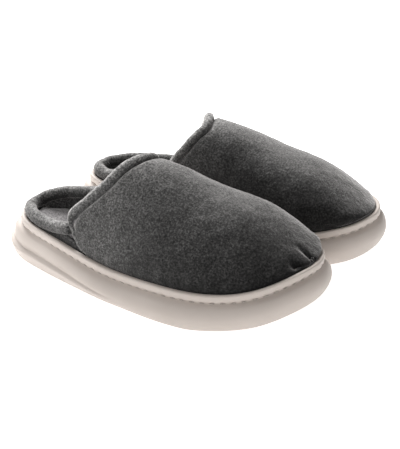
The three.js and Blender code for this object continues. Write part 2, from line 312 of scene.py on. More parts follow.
@dataclass(frozen=True)
class Placement:
    """Puts points of the right foot's frame where one slipper of the CAD pair stands."""

    side: Side
    angle: float
    offset: tuple[float, float]

    @classmethod
    def matching(cls, side: Side, last: Last, angle: float) -> "Placement":
        """Works the offset out from the box of the CAD sole.

        Args:
            side: the foot.
            last: the form.
            angle: the slipper's turn about Z, in radians.

        Returns:
            The placement.
        """
        loose = cls(side, angle, (0.0, 0.0))
        low = loose.to_row(last.widest()).min(axis=0)
        corner = np.array(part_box(f"{side.value}_outsole")[0])
        shift = (corner - low) / MILLIMETRE
        return cls(side, angle, (float(shift[0]), float(shift[1])))

    def to_row(self, points: np.ndarray) -> np.ndarray:
        """Places points where the slipper stands.

        Args:
            points: an array of points in millimetres of the right foot's frame.

        Returns:
            The points in metres of the CAD's frame.
        """
        flip = np.array([-1.0, 1.0, 1.0]) if self.side is Side.LEFT else np.ones(3)
        placed = turn(np.asarray(points, float) * flip, self.angle)
        return (placed + np.array([*self.offset, 0.0])) * MILLIMETRE


# ---------------------------------------------------------------- mesh work


def grid_mesh(points: np.ndarray, close: bool = False) -> bmesh.types.BMesh:
    """Lays a grid over rows and columns of points, and merges its seams and poles.

    Args:
        points: an array of (rows, columns, 3), in millimetres.
        close: whether the columns come back to their start.

    Returns:
        The mesh, in millimetres.
    """
    if close:
        points = np.concatenate([points, points[:, :1]], axis=1)
    rows, columns = points.shape[:2]
    bm = bmesh.new()
    bmesh.ops.create_grid(bm, x_segments=rows - 1, y_segments=columns - 1, size=1.0)
    for vert in bm.verts:
        row = round((vert.co.x + 1) / 2 * (rows - 1))
        column = round((vert.co.y + 1) / 2 * (columns - 1))
        vert.co = Vector(points[row, column])
    bmesh.ops.remove_doubles(bm, verts=bm.verts, dist=MERGE / MILLIMETRE)
    bmesh.ops.dissolve_degenerate(bm, edges=bm.edges, dist=MERGE / MILLIMETRE)
    bmesh.ops.recalc_face_normals(bm, faces=bm.faces)
    return bm


def surface_normals(points: np.ndarray) -> np.ndarray:
    """Works out the normals of a grid of points.

    Args:
        points: an array of (rows, columns, 3).

    Returns:
        A unit normal at each point.
    """
    down, across = np.gradient(points, axis=0), np.gradient(points, axis=1)
    normal = np.cross(down, across)
    size = np.linalg.norm(normal, axis=-1, keepdims=True)
    return normal / np.maximum(size, 1e-9)


def rounded(controls: np.ndarray, steps: int) -> np.ndarray:
    """Runs a cubic B-spline down the rows of control points, which rounds every corner.

    Args:
        controls: an array of (rows, columns, n).
        steps: points on each span.

    Returns:
        The finer rows, which start and end on the first and last control row.
    """
    padded = np.concatenate([controls[:1], controls[:1], controls, controls[-1:], controls[-1:]])
    rows = []
    for i in range(len(padded) - 3):
        for k in range(steps):
            w = k / steps
            weights = ((1 - w) ** 3, 3 * w**3 - 6 * w**2 + 4, -3 * w**3 + 3 * w**2 + 3 * w + 1, w**3)
            rows.append(sum(weight * padded[i + j] for j, weight in enumerate(weights)) / 6)
    rows.append(padded[-1])
    return np.array(rows)


def tube_points(path: np.ndarray, across: np.ndarray, radii: np.ndarray, sides: int) -> np.ndarray:
    """Rings of points round a path, closed to a point at both ends.

    Args:
        path: points along the middle.
        across: a direction at each point that the ring's first axis follows.
        radii: the radius at each point.
        sides: points on a ring.

    Returns:
        An array of (rows, sides, 3).
    """
    along = np.gradient(path, axis=0)
    along /= np.linalg.norm(along, axis=1, keepdims=True)
    first = across - np.sum(across * along, axis=1, keepdims=True) * along
    first /= np.linalg.norm(first, axis=1, keepdims=True)
    second = np.cross(along, first)
    turns = np.linspace(0, 2 * math.pi, sides, endpoint=False)
    rings = [
        centre + radius * (np.outer(np.cos(turns), a) + np.outer(np.sin(turns), b))
        for centre, radius, a, b in zip(path, radii, first, second)
    ]
    ends = [np.repeat(path[:1], sides, 0), np.repeat(path[-1:], sides, 0)]
    return np.array([ends[0], *rings, ends[1]])


def lumps(points: np.ndarray, size: float, seed: float) -> np.ndarray:
    """Smooth noise between about -1 and 1.

    Args:
        points: an array of (x, y, z) points.
        size: the size of a lump, in millimetres.
        seed: a shift that makes one set of lumps unlike another.

    Returns:
        The noise at each point.
    """
    flat = points.reshape(-1, 3) / size + seed
    values = np.array([noise.noise(Vector(p)) for p in flat])
    return values.reshape(points.shape[:-1])


def ruffle(bm: bmesh.types.BMesh, *waves: tuple[float, float], upright: bool = False) -> None:
    """Gives a smooth fabric mesh the slight unevenness of a sewn one.

    Args:
        bm: the mesh, in millimetres.
        waves: the height and the size of each set of lumps.
        upright: whether points move up and down, and not along their normals.
    """
    for vert in bm.verts:
        height = sum(rise * noise.noise(vert.co / size) for rise, size in waves)
        vert.co += (Vector((0.0, 0.0, 1.0)) if upright else vert.normal) * height


@dataclass(frozen=True)
class Puff:
    """A cloth simulation that fills a fabric form from inside and lets it settle."""

    pressure: float
    cap: float
    bending: float = 1.5
    frames: int = 20

    def settle(self, bm: bmesh.types.BMesh, pinned: Callable[[Vector], bool]) -> None:
        """Runs the simulation on a mesh in millimetres and keeps its result, up to the cap.

        Args:
            bm: the mesh, which is changed.
            pinned: says which places are held still.
        """
        mesh = bpy.data.meshes.new("settling")
        bm.to_mesh(mesh)
        for vert in mesh.vertices:
            vert.co = vert.co * MILLIMETRE
        cloth_object = bpy.data.objects.new("settling", mesh)
        bpy.context.scene.collection.objects.link(cloth_object)
        held = cloth_object.vertex_groups.new(name="held")
        held.add([v.index for v in bm.verts if pinned(v.co)], 1.0, "REPLACE")
        cloth = cloth_object.modifiers.new("cloth", "CLOTH")
        settings = cloth.settings
        settings.quality = 6
        settings.mass = 0.25
        settings.tension_stiffness = settings.compression_stiffness = 20
        settings.bending_stiffness = self.bending
        settings.effector_weights.gravity = 0
        settings.use_pressure = True
        settings.uniform_pressure_force = self.pressure
        settings.vertex_group_mass = "held"
        cloth.point_cache.frame_start, cloth.point_cache.frame_end = 1, self.frames
        scene = bpy.context.scene
        for number in range(1, self.frames + 1):
            scene.frame_set(number)
        settled = cloth_object.evaluated_get(bpy.context.evaluated_depsgraph_get()).data
        for vert, after in zip(bm.verts, settled.vertices):
            move = after.co / MILLIMETRE - vert.co
            if move.length > self.cap:
                move *= self.cap / move.length
            vert.co += move
        scene.frame_set(1)
        bpy.data.objects.remove(cloth_object)
        bpy.data.meshes.remove(mesh)


# ---------------------------------------------------------------- finishes


class Nodes:
    """A short way to lay out the nodes of one material."""

    def __init__(self, name: str) -> None:
        """Starts a material with a Principled shader.

        Args:
            name: the material's name.
        """
        self.material = bpy.data.materials.new(name)
        self.material.use_nodes = True
        self.tree = self.material.node_tree
        self.shader = self.tree.nodes["Principled BSDF"]
        self.place = self.tree.nodes.new("ShaderNodeTexCoord").outputs["Object"]

    def link(self, source: Socket, target: Socket) -> None:
        """Joins two sockets."""
        self.tree.links.new(source, target)

    def mapped(self, scale: Triple, turned: Triple) -> Socket:
        """The object's coordinates, stretched and turned.

        Args:
            scale: how much finer a pattern gets along each axis.
            turned: the turn about each axis, in radians.

        Returns:
            The coordinates.
        """
        node = self.tree.nodes.new("ShaderNodeMapping")
        node.inputs["Scale"].default_value = scale
        node.inputs["Rotation"].default_value = turned
        self.link(self.place, node.inputs["Vector"])
        return node.outputs["Vector"]

    def attribute(self, name: str) -> Socket:
        """Reads a mesh attribute.

        Args:
            name: the attribute's name.

        Returns:
            Its value.
        """
        node = self.tree.nodes.new("ShaderNodeAttribute")
        node.attribute_name = name
        return node.outputs["Fac"]

    def noise(self, grain: float, detail: float = 2.0, place: Optional[Socket] = None) -> Socket:
        """Lays out noise.

        Args:
            grain: the size of a grain, in metres.
            detail: how many finer layers it has.
            place: the coordinates, or None for the object's own.

        Returns:
            A value about 0.5.
        """
        node = self.tree.nodes.new("ShaderNodeTexNoise")
        node.inputs["Scale"].default_value = 1 / grain
        node.inputs["Detail"].default_value = detail
        node.inputs["Roughness"].default_value = 0.6
        self.link(place or self.place, node.inputs["Vector"])
        return node.outputs["Fac"]

    def ramp(self, value: Socket, stops: Sequence[tuple[float, Colour]]) -> Socket:
        """Colours along a value.

        Args:
            value: the value.
            stops: positions from 0 to 1, each with its colour.

        Returns:
            The colour.
        """
        node = self.tree.nodes.new("ShaderNodeValToRGB")
        elements = node.color_ramp.elements
        while len(elements) < len(stops):
            elements.new(0.5)
        for element, (position, colour) in zip(elements, stops):
            element.position = position
            element.color = (*colour, 1.0)
        self.link(value, node.inputs["Fac"])
        return node.outputs["Color"]

    def maths(self, kind: str, first: Socket, second: Socket | float) -> Socket:
        """A sum, product or other operation on two values.

        Args:
            kind: Blender's name for the operation.
            first: the first value.
            second: the second value, or a number.

        Returns:
            The result.
        """
        node = self.tree.nodes.new("ShaderNodeMath")
        node.operation = kind
        self.link(first, node.inputs[0])
        if isinstance(second, float):
            node.inputs[1].default_value = second
        else:
            self.link(second, node.inputs[1])
        return node.outputs[0]

    def multiplied(self, first: Socket, second: Socket) -> Socket:
        """One colour multiplied by another.

        Args:
            first: a colour.
            second: the colour that darkens it.

        Returns:
            The darker colour.
        """
        node = self.tree.nodes.new("ShaderNodeMix")
        node.data_type = "RGBA"
        node.blend_type = "MULTIPLY"
        node.inputs["Factor"].default_value = 1.0
        self.link(first, node.inputs[6])
        self.link(second, node.inputs[7])
        return node.outputs[2]

    def bump(self, height: Socket, distance: float, strength: float) -> None:
        """Raises the shader's surface.

        Args:
            height: the relief, about 0 to 1.
            distance: how far it stands out, in metres.
            strength: how strongly it shows.
        """
        node = self.tree.nodes.new("ShaderNodeBump")
        node.inputs["Distance"].default_value = distance
        node.inputs["Strength"].default_value = strength
        self.link(height, node.inputs["Height"])
        self.link(node.outputs["Normal"], self.shader.inputs["Normal"])


@dataclass(frozen=True)
class Heather:
    """Brushed wool felt: dark, middle and pale fibres mixed, then darkened by painted shading that a ramp
    reads from the mesh's painted-shade attribute.
    """

    name: str
    dark: Colour
    middle: Colour
    pale: Colour
    fleck: float = 0.0015
    nap_and_painted_shade: float = 0.0005
    sheen: float = 0.8
    patch: float = 0.012
    hair: float = 0.0004
    # The painted shading: the colour's multiplier, from 0.03 to 1, at each value of the mesh's painted-shade
    # attribute.
    painted_shading: Pairs = ((0.0, 0.03), (0.25, 0.065), (0.42, 0.14), (0.7, 0.4), (1.0, 1.0))

    def material(self) -> bpy.types.Material:
        """Lays out the material's nodes.

        Returns:
            The material.
        """
        nodes = Nodes(self.name)
        fleck = nodes.noise(self.fleck, 3.0)
        one_way = nodes.noise(self.fleck, 2.0, nodes.mapped((0.35, 1.5, 1.2), (0.3, 0.2, 0.7)))
        other_way = nodes.noise(self.fleck, 2.0, nodes.mapped((1.4, 0.4, 1.1), (0.5, -0.3, -0.4)))
        fibres = nodes.maths("MAXIMUM", one_way, other_way)
        fibres_share = nodes.maths("MULTIPLY", fibres, 0.45)
        blend = nodes.maths("ADD", nodes.maths("MULTIPLY", fleck, 0.55), fibres_share)
        wool = nodes.ramp(blend, [(0.4, self.dark), (0.52, self.middle), (0.64, self.pale)])
        patches = nodes.ramp(nodes.noise(self.patch, 4.0), [(0.3, (0.66,) * 3), (0.7, (1.0,) * 3)])
        toned = nodes.multiplied(wool, patches)
        # Painted light and shade, from which way the surface faces and where it is along the slipper.
        painted_light = nodes.ramp(nodes.attribute(PAINTED_SHADE_ATTRIBUTE), [(nap_and_painted_shade, (shade,) * 3) for nap_and_painted_shade, shade in self.painted_shading])
        nodes.link(nodes.multiplied(toned, painted_light), nodes.shader.inputs["Base Color"])
        nodes.shader.inputs["Roughness"].default_value = 1.0
        nodes.shader.inputs["Specular IOR Level"].default_value = 0.15
        nodes.shader.inputs["Sheen Weight"].default_value = self.sheen
        nodes.shader.inputs["Sheen Roughness"].default_value = 0.35
        nodes.shader.inputs["Sheen Tint"].default_value = (0.9, 0.87, 0.85, 1.0)
        height = nodes.maths("ADD", blend, nodes.maths("MULTIPLY", nodes.noise(self.hair, 2.0), 0.5))
        nodes.bump(height, self.nap_and_painted_shade, 0.9)
        return nodes.material


@dataclass(frozen=True)
class Foam:
    """Moulded foam: matt, with a fine closed skin and a slow change of shade."""

    name: str
    colour: Colour
    shade: Colour
    roughness: float
    pore: float = 0.0009
    depth: float = 0.00012
    dimple: float = 0.006
    rub: float = 0.012
    cloud: float = 0.03

    def material(self) -> bpy.types.Material:
        """Lays out the material's nodes.

        Returns:
            The material.
        """
        nodes = Nodes(self.name)
        tone = nodes.ramp(nodes.noise(self.cloud, 3.0), [(0.3, self.shade), (0.7, self.colour)])
        nodes.link(tone, nodes.shader.inputs["Base Color"])
        rubbed = nodes.maths("MULTIPLY", nodes.noise(self.rub, 2.0), 0.12)
        gloss = nodes.maths("ADD", rubbed, self.roughness - 0.06)
        nodes.link(gloss, nodes.shader.inputs["Roughness"])
        nodes.shader.inputs["Specular IOR Level"].default_value = 0.35
        dimples = nodes.maths("MULTIPLY", nodes.noise(self.dimple, 1.0), 1.2)
        skin = nodes.maths("ADD", nodes.noise(self.pore, 2.0), dimples)
        nodes.bump(skin, self.depth, 0.5)
        return nodes.material


@dataclass(frozen=True)
class Twist:
    """Twisted sewing thread: fine slanted bands of light and shade."""

    name: str
    colour: Colour
    shade: Colour
    pitch: float = 0.0007

    def material(self) -> bpy.types.Material:
        """Lays out the material's nodes.

        Returns:
            The material.
        """
        nodes = Nodes(self.name)
        wave = nodes.tree.nodes.new("ShaderNodeTexWave")
        wave.bands_direction = "DIAGONAL"
        wave.inputs["Scale"].default_value = 0.3 / self.pitch
        wave.inputs["Distortion"].default_value = 1.5
        nodes.link(nodes.place, wave.inputs["Vector"])
        bands = wave.outputs["Fac"]
        tone = nodes.ramp(bands, [(0.2, self.shade), (0.8, self.colour)])
        nodes.link(tone, nodes.shader.inputs["Base Color"])
        nodes.shader.inputs["Roughness"].default_value = 0.7
        nodes.shader.inputs["Sheen Weight"].default_value = 0.2
        nodes.bump(bands, 0.0002, 0.8)
        return nodes.material


@dataclass(frozen=True)
class Fibreboard:
    """Pressed fibre board: flecked and dry."""

    name: str
    colour: Colour
    fleck: Colour

    def material(self) -> bpy.types.Material:
        """Lays out the material's nodes.

        Returns:
            The material.
        """
        nodes = Nodes(self.name)
        fibre = nodes.noise(0.0015, 3.0, nodes.mapped((0.4, 1.6, 1.0), (0.0, 0.0, 0.5)))
        tone = nodes.ramp(fibre, [(0.35, self.fleck), (0.6, self.colour)])
        nodes.link(tone, nodes.shader.inputs["Base Color"])
        nodes.shader.inputs["Roughness"].default_value = 0.85
        nodes.bump(fibre, 0.0002, 0.6)
        return nodes.material


@dataclass
class Finishes:
    """The materials of both slippers, one for each slot."""

    felt: Heather = Heather("heathered_felt", (0.1, 0.098, 0.096), (0.28, 0.274, 0.268), (0.64, 0.625, 0.61))
    lining: Heather = Heather(
        "dark_lining", (0.02, 0.02, 0.02), (0.07, 0.07, 0.07), (0.2, 0.2, 0.2), sheen=0.1
    )
    fleece: Heather = Heather(
        "footbed_fleece", (0.26, 0.245, 0.25), (0.55, 0.52, 0.53), (0.9, 0.86, 0.87), 0.0016, 0.0008
    )
    sole: Foam = Foam("moulded_foam", (0.54, 0.48, 0.437), (0.515, 0.455, 0.412), 0.55)
    padding: Foam = Foam("soft_foam", (0.78, 0.74, 0.64), (0.7, 0.66, 0.56), 0.9, 0.0014, 0.0006)
    board: Fibreboard = Fibreboard("insole_fibreboard", (0.42, 0.3, 0.17), (0.24, 0.16, 0.09))
    thread: Twist = Twist("sewing_thread", (0.46, 0.41, 0.37), (0.33, 0.29, 0.26))
    made: dict[Slot, bpy.types.Material] = field(default_factory=dict)

    def make(self) -> None:
        """Makes every material."""
        kinds = {
            Slot.FELT: self.felt,
            Slot.LINING: self.lining,
            Slot.FLEECE: self.fleece,
            Slot.FOAM_SOLE: self.sole,
            Slot.PADDING: self.padding,
            Slot.BOARD: self.board,
            Slot.THREAD: self.thread,
        }
        self.made = {slot: finish.material() for slot, finish in kinds.items()}


# ---------------------------------------------------------------- pieces


@dataclass
class Bench:
    """What a sub-assembly needs to turn a mesh into a finished piece of one slipper."""

    placement: Placement
    last: Last
    finishes: Finishes

    def body(self) -> str:
        """The CAD body of this slipper."""
        return f"{self.placement.side.value}_slipper"

    def node(self, name: str) -> str:
        """The CAD node of this slipper with a plain name."""
        return f"{self.placement.side.value}_{name}"

    def piece(
        self,
        bm: bmesh.types.BMesh,
        name: str,
        slot: Slot,
        stands_for: str,
        wall: float = 0.0,
        painted_light_lift: float = 0.0,
    ) -> bpy.types.Object:
        """Places a mesh, gives it its material and its body, and logs it.

        Args:
            bm: the mesh in millimetres of the right foot's frame, which is used up.
            name: the piece's plain name.
            slot: its material slot.
            stands_for: the plain name of the CAD node that it replaces.
            wall: thickness inwards in millimetres, for an open sheet.
            painted_light_lift: how much paler than the rest its fabric is painted, as painted light.

        Returns:
            The finished object.
        """
        # Painted light: the fabric is painted paler or darker along the slipper and by piece.
        painted_light = PAINTED_LIGHT_ALONG(np.array([vert.co.y for vert in bm.verts])) + painted_light_lift
        places = self.placement.to_row(np.array([v.co for v in bm.verts]))
        for vert, place in zip(bm.verts, places):
            vert.co = Vector(place)
        if self.placement.side is Side.LEFT:
            bmesh.ops.reverse_faces(bm, faces=bm.faces)
        for face in bm.faces:
            face.smooth = True
        bm.normal_update()
        # Painted shading: the fabric's colour follows how squarely the surface faces the main light.
        facing = np.array([vert.normal.dot(PAINTED_LIGHT_DIRECTION) for vert in bm.verts])
        nap_and_painted_shade = (0.5 + 0.5 * facing + painted_light) / PAINTED_SHADE_RANGE
        mesh = bpy.data.meshes.new(self.node(name))
        bm.to_mesh(mesh)
        bm.free()
        mesh.attributes.new(PAINTED_SHADE_ATTRIBUTE, "FLOAT", "POINT").data.foreach_set("value", np.clip(nap_and_painted_shade, 0, 1))
        piece = bpy.data.objects.new(self.node(name), mesh)
        bpy.context.scene.collection.objects.link(piece)
        mesh.materials.append(self.finishes.made[slot])
        if wall:
            solidify = piece.modifiers.new("wall", "SOLIDIFY")
            solidify.thickness = wall * MILLIMETRE
            solidify.offset = -1.0
        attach(piece, self.body())
        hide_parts(self.node(stands_for))
        LOG.info("%s: %d faces", piece.name, len(mesh.polygons))
        return piece


@dataclass
class Sole:
    """The moulded foam sole: tread, two-tier side wall, stitched lip and the cup that holds the upper."""

    columns: int = 420
    lip_edge: float = 0.3
    groove: float = 1.4
    scallop: float = 0.22
    stitch_pitch: float = 8.0
    stitch_length: float = 4.6
    stitch_radius: float = 0.55
    tier_valley: tuple[float, float, float] = (0.53, 0.045, 1.1)
    wall_shares: tuple[float, ...] = (
        0.1, 0.2, 0.3, 0.38, 0.43, 0.46, 0.49, 0.515, 0.54, 0.57, 0.61, 0.68, 0.76, 0.84, 0.91, 0.96,
    )
    wall_top: float = 2.6
    cup_fill: tuple[float, ...] = (0.66, 0.33, 0.0)
    tread_inset: float = 4.0
    tread_rows: int = 43
    tread_depth: float = 1.6
    tread_pitch: float = 13.0
    tread_sway: float = 3.5
    tread_border: float = 0.93

    def ring(self, last: Last, t: np.ndarray, offset: np.ndarray | Callable, height: Callable) -> np.ndarray:
        """A ring of points at an offset from the rim and at a height along it."""
        edge = last.rim(t, offset)
        return np.column_stack([edge, height(edge[:, 1])])

    def foot_offset(self, last: Last, y: np.ndarray) -> np.ndarray:
        """How far the edge of the tread stands out from the rim."""
        return last.side_bulge(y) * 0.25 + last.heel_flare(y) - self.tread_inset

    def wall_offset(self, last: Last, share: float, y: np.ndarray) -> np.ndarray:
        """How far the side wall stands out from the rim, with a crease between the heel's two tiers.

        Args:
            last: the form.
            share: the share of the wall's height.
            y: stations from the heel.

        Returns:
            The offset at each station.
        """
        heel = smoothstep(-y, -150.0, -70.0)
        soft_tier = smoothstep(1 - share, 0.38, 0.62)
        sharp_tier = smoothstep(1 - share, 0.43, 0.55)
        flare = last.heel_flare(y) * (soft_tier * (1 - heel) + sharp_tier * heel)
        place, width, depth = self.tier_valley
        crease = depth * heel * math.exp(-(((share - place) / width) ** 2))
        roundness = 0.6 - 0.3 * smoothstep(-y, -50.0, -5.0)
        return last.side_bulge(y) * math.sin(math.pi * share) ** roundness + flare - 2 * (1 - share) - crease

    def wall_height(self, last: Last, share: float, y: np.ndarray) -> np.ndarray:
        """Height of a share of the side wall, from the underside to just under the lip."""
        top = last.rim_height(y) - last.lip_height - self.wall_top
        return last.underside(y) * (1 - share) + top * share

    def lip_section(self, last: Last, wave: np.ndarray) -> list[tuple[Amount, Amount]]:
        """The section over the lip.

        Args:
            last: the form.
            wave: the scallop at each point round the rim.

        Returns:
            Offsets and heights from the rim, from the groove over the lip down into the cup.
        """
        lip, edge, cup = last.lip_height, self.lip_edge, last.cup_wall
        return [
            (-self.groove * 0.5, -lip - 2.0), (-self.groove, -lip - 1.5), (-self.groove, -lip - 0.7),
            (-self.groove * 0.7, -lip - 0.1), (edge - 0.5 + wave, -lip + 0.1 - wave),
            (edge + wave, -lip + 0.7 - wave), (edge + 0.1, -lip + 2.2), (edge, -2.0), (edge - 0.1, -0.9),
            (edge - 0.8, -0.1), (edge - 2.1, 0.12), (1.2 - cup, 0.0), (0.2 - cup, -0.4), (-cup - 0.1, -1.6),
            (-cup - 0.1, -5.0), (-cup - 0.1, 0.6 - last.cup_depth), (-cup - 0.6, -last.cup_depth),
        ]

    def controls(self, last: Last, t: np.ndarray) -> np.ndarray:
        """The section's control points, from the edge of the tread up over the lip and into the cup.

        Args:
            last: the form.
            t: shares of the way round the rim.

        Returns:
            An array of (rows, points round the rim, 3).
        """
        wave = self.scallop * np.cos(2 * math.pi * last.arc(t) / self.pitch(last))
        rows = [
            self.ring(last, t, partial(self.foot_offset, last), last.underside),
            self.ring(last, t, lambda y: self.foot_offset(last, y) + 1.6, lambda y: last.underside(y) + 0.3),
        ]
        for share in self.wall_shares:
            height = partial(self.wall_height, last, share)
            rows.append(self.ring(last, t, partial(self.wall_offset, last, share), height))
        for offset, drop in self.lip_section(last, wave):
            place = np.broadcast_to(offset, t.shape)
            rows.append(self.ring(last, t, place, lambda y, drop=drop: last.rim_height(y) + drop))
        return np.array(rows)

    def pitch(self, last: Last) -> float:
        """The stitch pitch that goes round the rim a whole number of times."""
        around = float(last.arc(np.array([1.0]))[0])
        return around / round(around / self.stitch_pitch)

    def tread(self, points: np.ndarray, shares: np.ndarray) -> np.ndarray:
        """How far the underside is cut up: waves across the sole inside a plain border.

        Args:
            points: points of the underside.
            shares: how far each is from the spine to the edge.

        Returns:
            The depth of the cut at each point.
        """
        x, y = points[..., 0], points[..., 1]
        wave = np.sin(2 * math.pi * (y + self.tread_sway * np.sin(x / 8.0)) / self.tread_pitch)
        waist = 1 - smoothstep(y, 92, 104) * (1 - smoothstep(y, 132, 144))
        inside = 1 - smoothstep(shares, 0.84, 0.9)
        border = np.exp(-(((shares - self.tread_border) / 0.018) ** 2))
        return self.tread_depth * np.maximum(smoothstep(wave, 0.35, 0.75) * waist * inside, border)

    def build(self, last: Last) -> bmesh.types.BMesh:
        """Makes the sole: its underside, its side and lip, and the floor of its cup.

        Args:
            last: the form.

        Returns:
            The mesh in millimetres.
        """
        t = np.arange(self.columns) / self.columns
        side = rounded(self.controls(last, t), 2)
        spread = np.linspace(0, 1, self.tread_rows + 1)[:-1, None]
        edge = side[:1, :, :2]
        centre = last.towards_spine(edge)
        flat = centre * (1 - spread[..., None]) + edge * spread[..., None]
        base = last.underside(flat[..., 1])
        under = np.concatenate([flat, base[..., None]], -1)
        under[..., 2] += self.tread(under, np.broadcast_to(spread, under.shape[:2]))
        cup_edge = side[-1:, :, :2]
        cup_centre = last.towards_spine(cup_edge)
        fill = np.array(self.cup_fill)[:, None, None]
        floor = cup_edge * fill + cup_centre * (1 - fill)
        floor = np.concatenate([floor, (last.rim_height(floor[..., 1]) - last.cup_depth)[..., None]], -1)
        return grid_mesh(np.concatenate([under, side, floor]), close=True)

    def stitches(self, last: Last) -> bmesh.types.BMesh:
        """Makes the stitches in the groove under the lip.

        Args:
            last: the form.

        Returns:
            The mesh in millimetres.
        """
        pitch = self.pitch(last)
        around = float(last.arc(np.array([1.0]))[0])
        fine = np.linspace(0, 1, 4001)
        arcs = last.arc(fine)
        drop = -last.lip_height - 1.0
        bm = bmesh.new()
        for i in range(round(around / pitch)):
            middle = (i + 0.5) * pitch
            shares = np.interp([middle - 0.5, middle, middle + 0.5], arcs, fine)
            spots = last.rim(shares, 0.55 - self.groove)
            heights = last.rim_height(spots[:, 1]) + drop
            line = Vector((*(spots[2] - spots[0]), heights[2] - heights[0]))
            verts = bmesh.ops.create_uvsphere(bm, u_segments=6, v_segments=6, radius=1.0)["verts"]
            size = (self.stitch_radius, self.stitch_radius, self.stitch_length / 2)
            bmesh.ops.scale(bm, verts=verts, vec=size)
            bmesh.ops.rotate(bm, verts=verts, matrix=line.to_track_quat("Z", "Y").to_matrix())
            bmesh.ops.translate(bm, verts=verts, vec=(*spots[1], heights[1]))
        return bm

    def dress(self, bench: Bench) -> None:
        """Builds the sole and its stitches and gives them their finish."""
        bench.piece(self.build(bench.last), "sole", Slot.FOAM_SOLE, "outsole")
        bench.piece(self.stitches(bench.last), "lip_stitches", Slot.THREAD, "sole_thread")


@dataclass
class Footbed:
    """What the foot stands on: a fibre board in the cup, a foam pad and its fleece cover."""

    inset: float = 13.0
    widening: float = 4.0
    top: Profile = Profile(((70, 2.8), (150, -4)))
    cover: float = 2.0
    pillow: float = 2.4
    dish: float = 0.8
    board_top: float = -13.7
    columns: int = 200
    section: Pairs = (
        (0.0, 0.0), (0.4, 0.0), (0.75, 0.0), (0.93, 0.0), (0.985, 0.1), (1.0, 0.4), (1.0, 0.7),
        (0.985, 0.95), (0.95, 1.0), (0.88, 1.0), (0.78, 1.0), (0.66, 1.0), (0.5, 1.0), (0.33, 1.0),
        (0.16, 1.0), (0.0, 1.0),
    )

    def edge(self, last: Last, inset: float) -> np.ndarray:
        """The footbed's edge from above, wider under the inner side's high collar.

        Args:
            last: the form.
            inset: how far inside the rim's edge it runs.

        Returns:
            An array of (x, y) points.
        """
        t = np.arange(self.columns) / self.columns
        flat = last.rim(t, -inset)
        inner_side = flat[:, 0] < last.towards_spine(flat)[:, 0]
        along = smoothstep(flat[:, 1], 22, 38) * (1 - smoothstep(flat[:, 1], 68, 84))
        return last.rim(t, self.widening * along * inner_side - inset)

    def height(self, y: np.ndarray, share: float) -> np.ndarray:
        """Height of the cover over the rim, falling like a pillow towards its edge."""
        heel = np.exp(-(((y - 45) / 32) ** 2)) * (1 - share**2)
        return self.top(y) - self.dish * heel - self.pillow * share**7

    def cushion(self, last: Last, low: Optional[float], drop: float, inset: float) -> bmesh.types.BMesh:
        """A pad under the footbed's top, with rounded edges.

        Args:
            last: the form.
            low: height of its underside over the rim, or None for a sheet as thick as the cover.
            drop: how far under the footbed's top it ends.
            inset: how far inside the rim's edge it ends.

        Returns:
            The mesh in millimetres.
        """
        edge = self.edge(last, inset)
        centre = last.towards_spine(edge)
        rows = []
        for share, rise in self.section:
            flat = centre * (1 - share) + edge * share
            y = flat[:, 1]
            top = self.height(y, share) - drop
            bottom = top - self.cover if low is None else low
            rows.append(np.column_stack([flat, last.rim_height(y) + bottom * (1 - rise) + top * rise]))
        return grid_mesh(rounded(np.array(rows), 4), close=True)

    def dress(self, bench: Bench) -> None:
        """Builds the pad and its cover, and gives the CAD board its finish.

        Args:
            bench: the slipper's bench.
        """
        foam = self.cushion(bench.last, self.board_top + 0.3, self.cover + 0.4, self.inset + 0.6)
        bench.piece(foam, "footbed_pad", Slot.PADDING, "footbed_foam")
        cover = self.cushion(bench.last, None, 0.0, self.inset)
        ruffle(cover, (0.5, 14.0), (0.25, 5.0), upright=True)
        bench.piece(cover, "footbed_fleece", Slot.FLEECE, "footbed_cover")
        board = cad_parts[bench.node("insole_board")]
        board.data.materials.clear()
        board.data.materials.append(bench.finishes.made[Slot.BOARD])
        LOG.info("%s: finished", board.name)


@dataclass(frozen=True)
class Tuck:
    """A short fold sewn into the vamp's toe.

    It has a line from start to end, a depth and a width, a swell on both sides, and the share of its
    length over which it deepens.
    """

    start: Triple
    end: Triple
    depth: float
    width: float
    swell: float
    reach: float
    fade: float = 9.0

    def move(self, points: np.ndarray, normals: np.ndarray) -> np.ndarray:
        """How the fold moves a surface: a narrow valley with a soft ridge on either side.

        Args:
            points: an array of points.
            normals: the outward normal at each.

        Returns:
            The move outwards at each point.
        """
        start, end = np.array(self.start), np.array(self.end)
        line = end - start
        length = float(np.linalg.norm(line))
        share = np.clip(((points - start) @ line) / length**2, 0.0, 1.0)
        nearest = start + share[..., None] * line
        gap = points - nearest
        sideways = np.cross(normals, line / length)
        across = np.sum(gap * sideways, axis=-1)
        away = np.linalg.norm(gap - across[..., None] * sideways, axis=-1)
        near = np.exp(-((away / self.fade) ** 2)) * smoothstep(share, 0.0, self.reach)
        width = self.width * (1.5 - 0.6 * share)
        valley = -self.depth * np.exp(-((across / width) ** 2))
        ridges = self.swell * np.exp(-(((np.abs(across) - 2.6 * width) / (1.8 * width)) ** 2))
        return near * (valley + ridges)


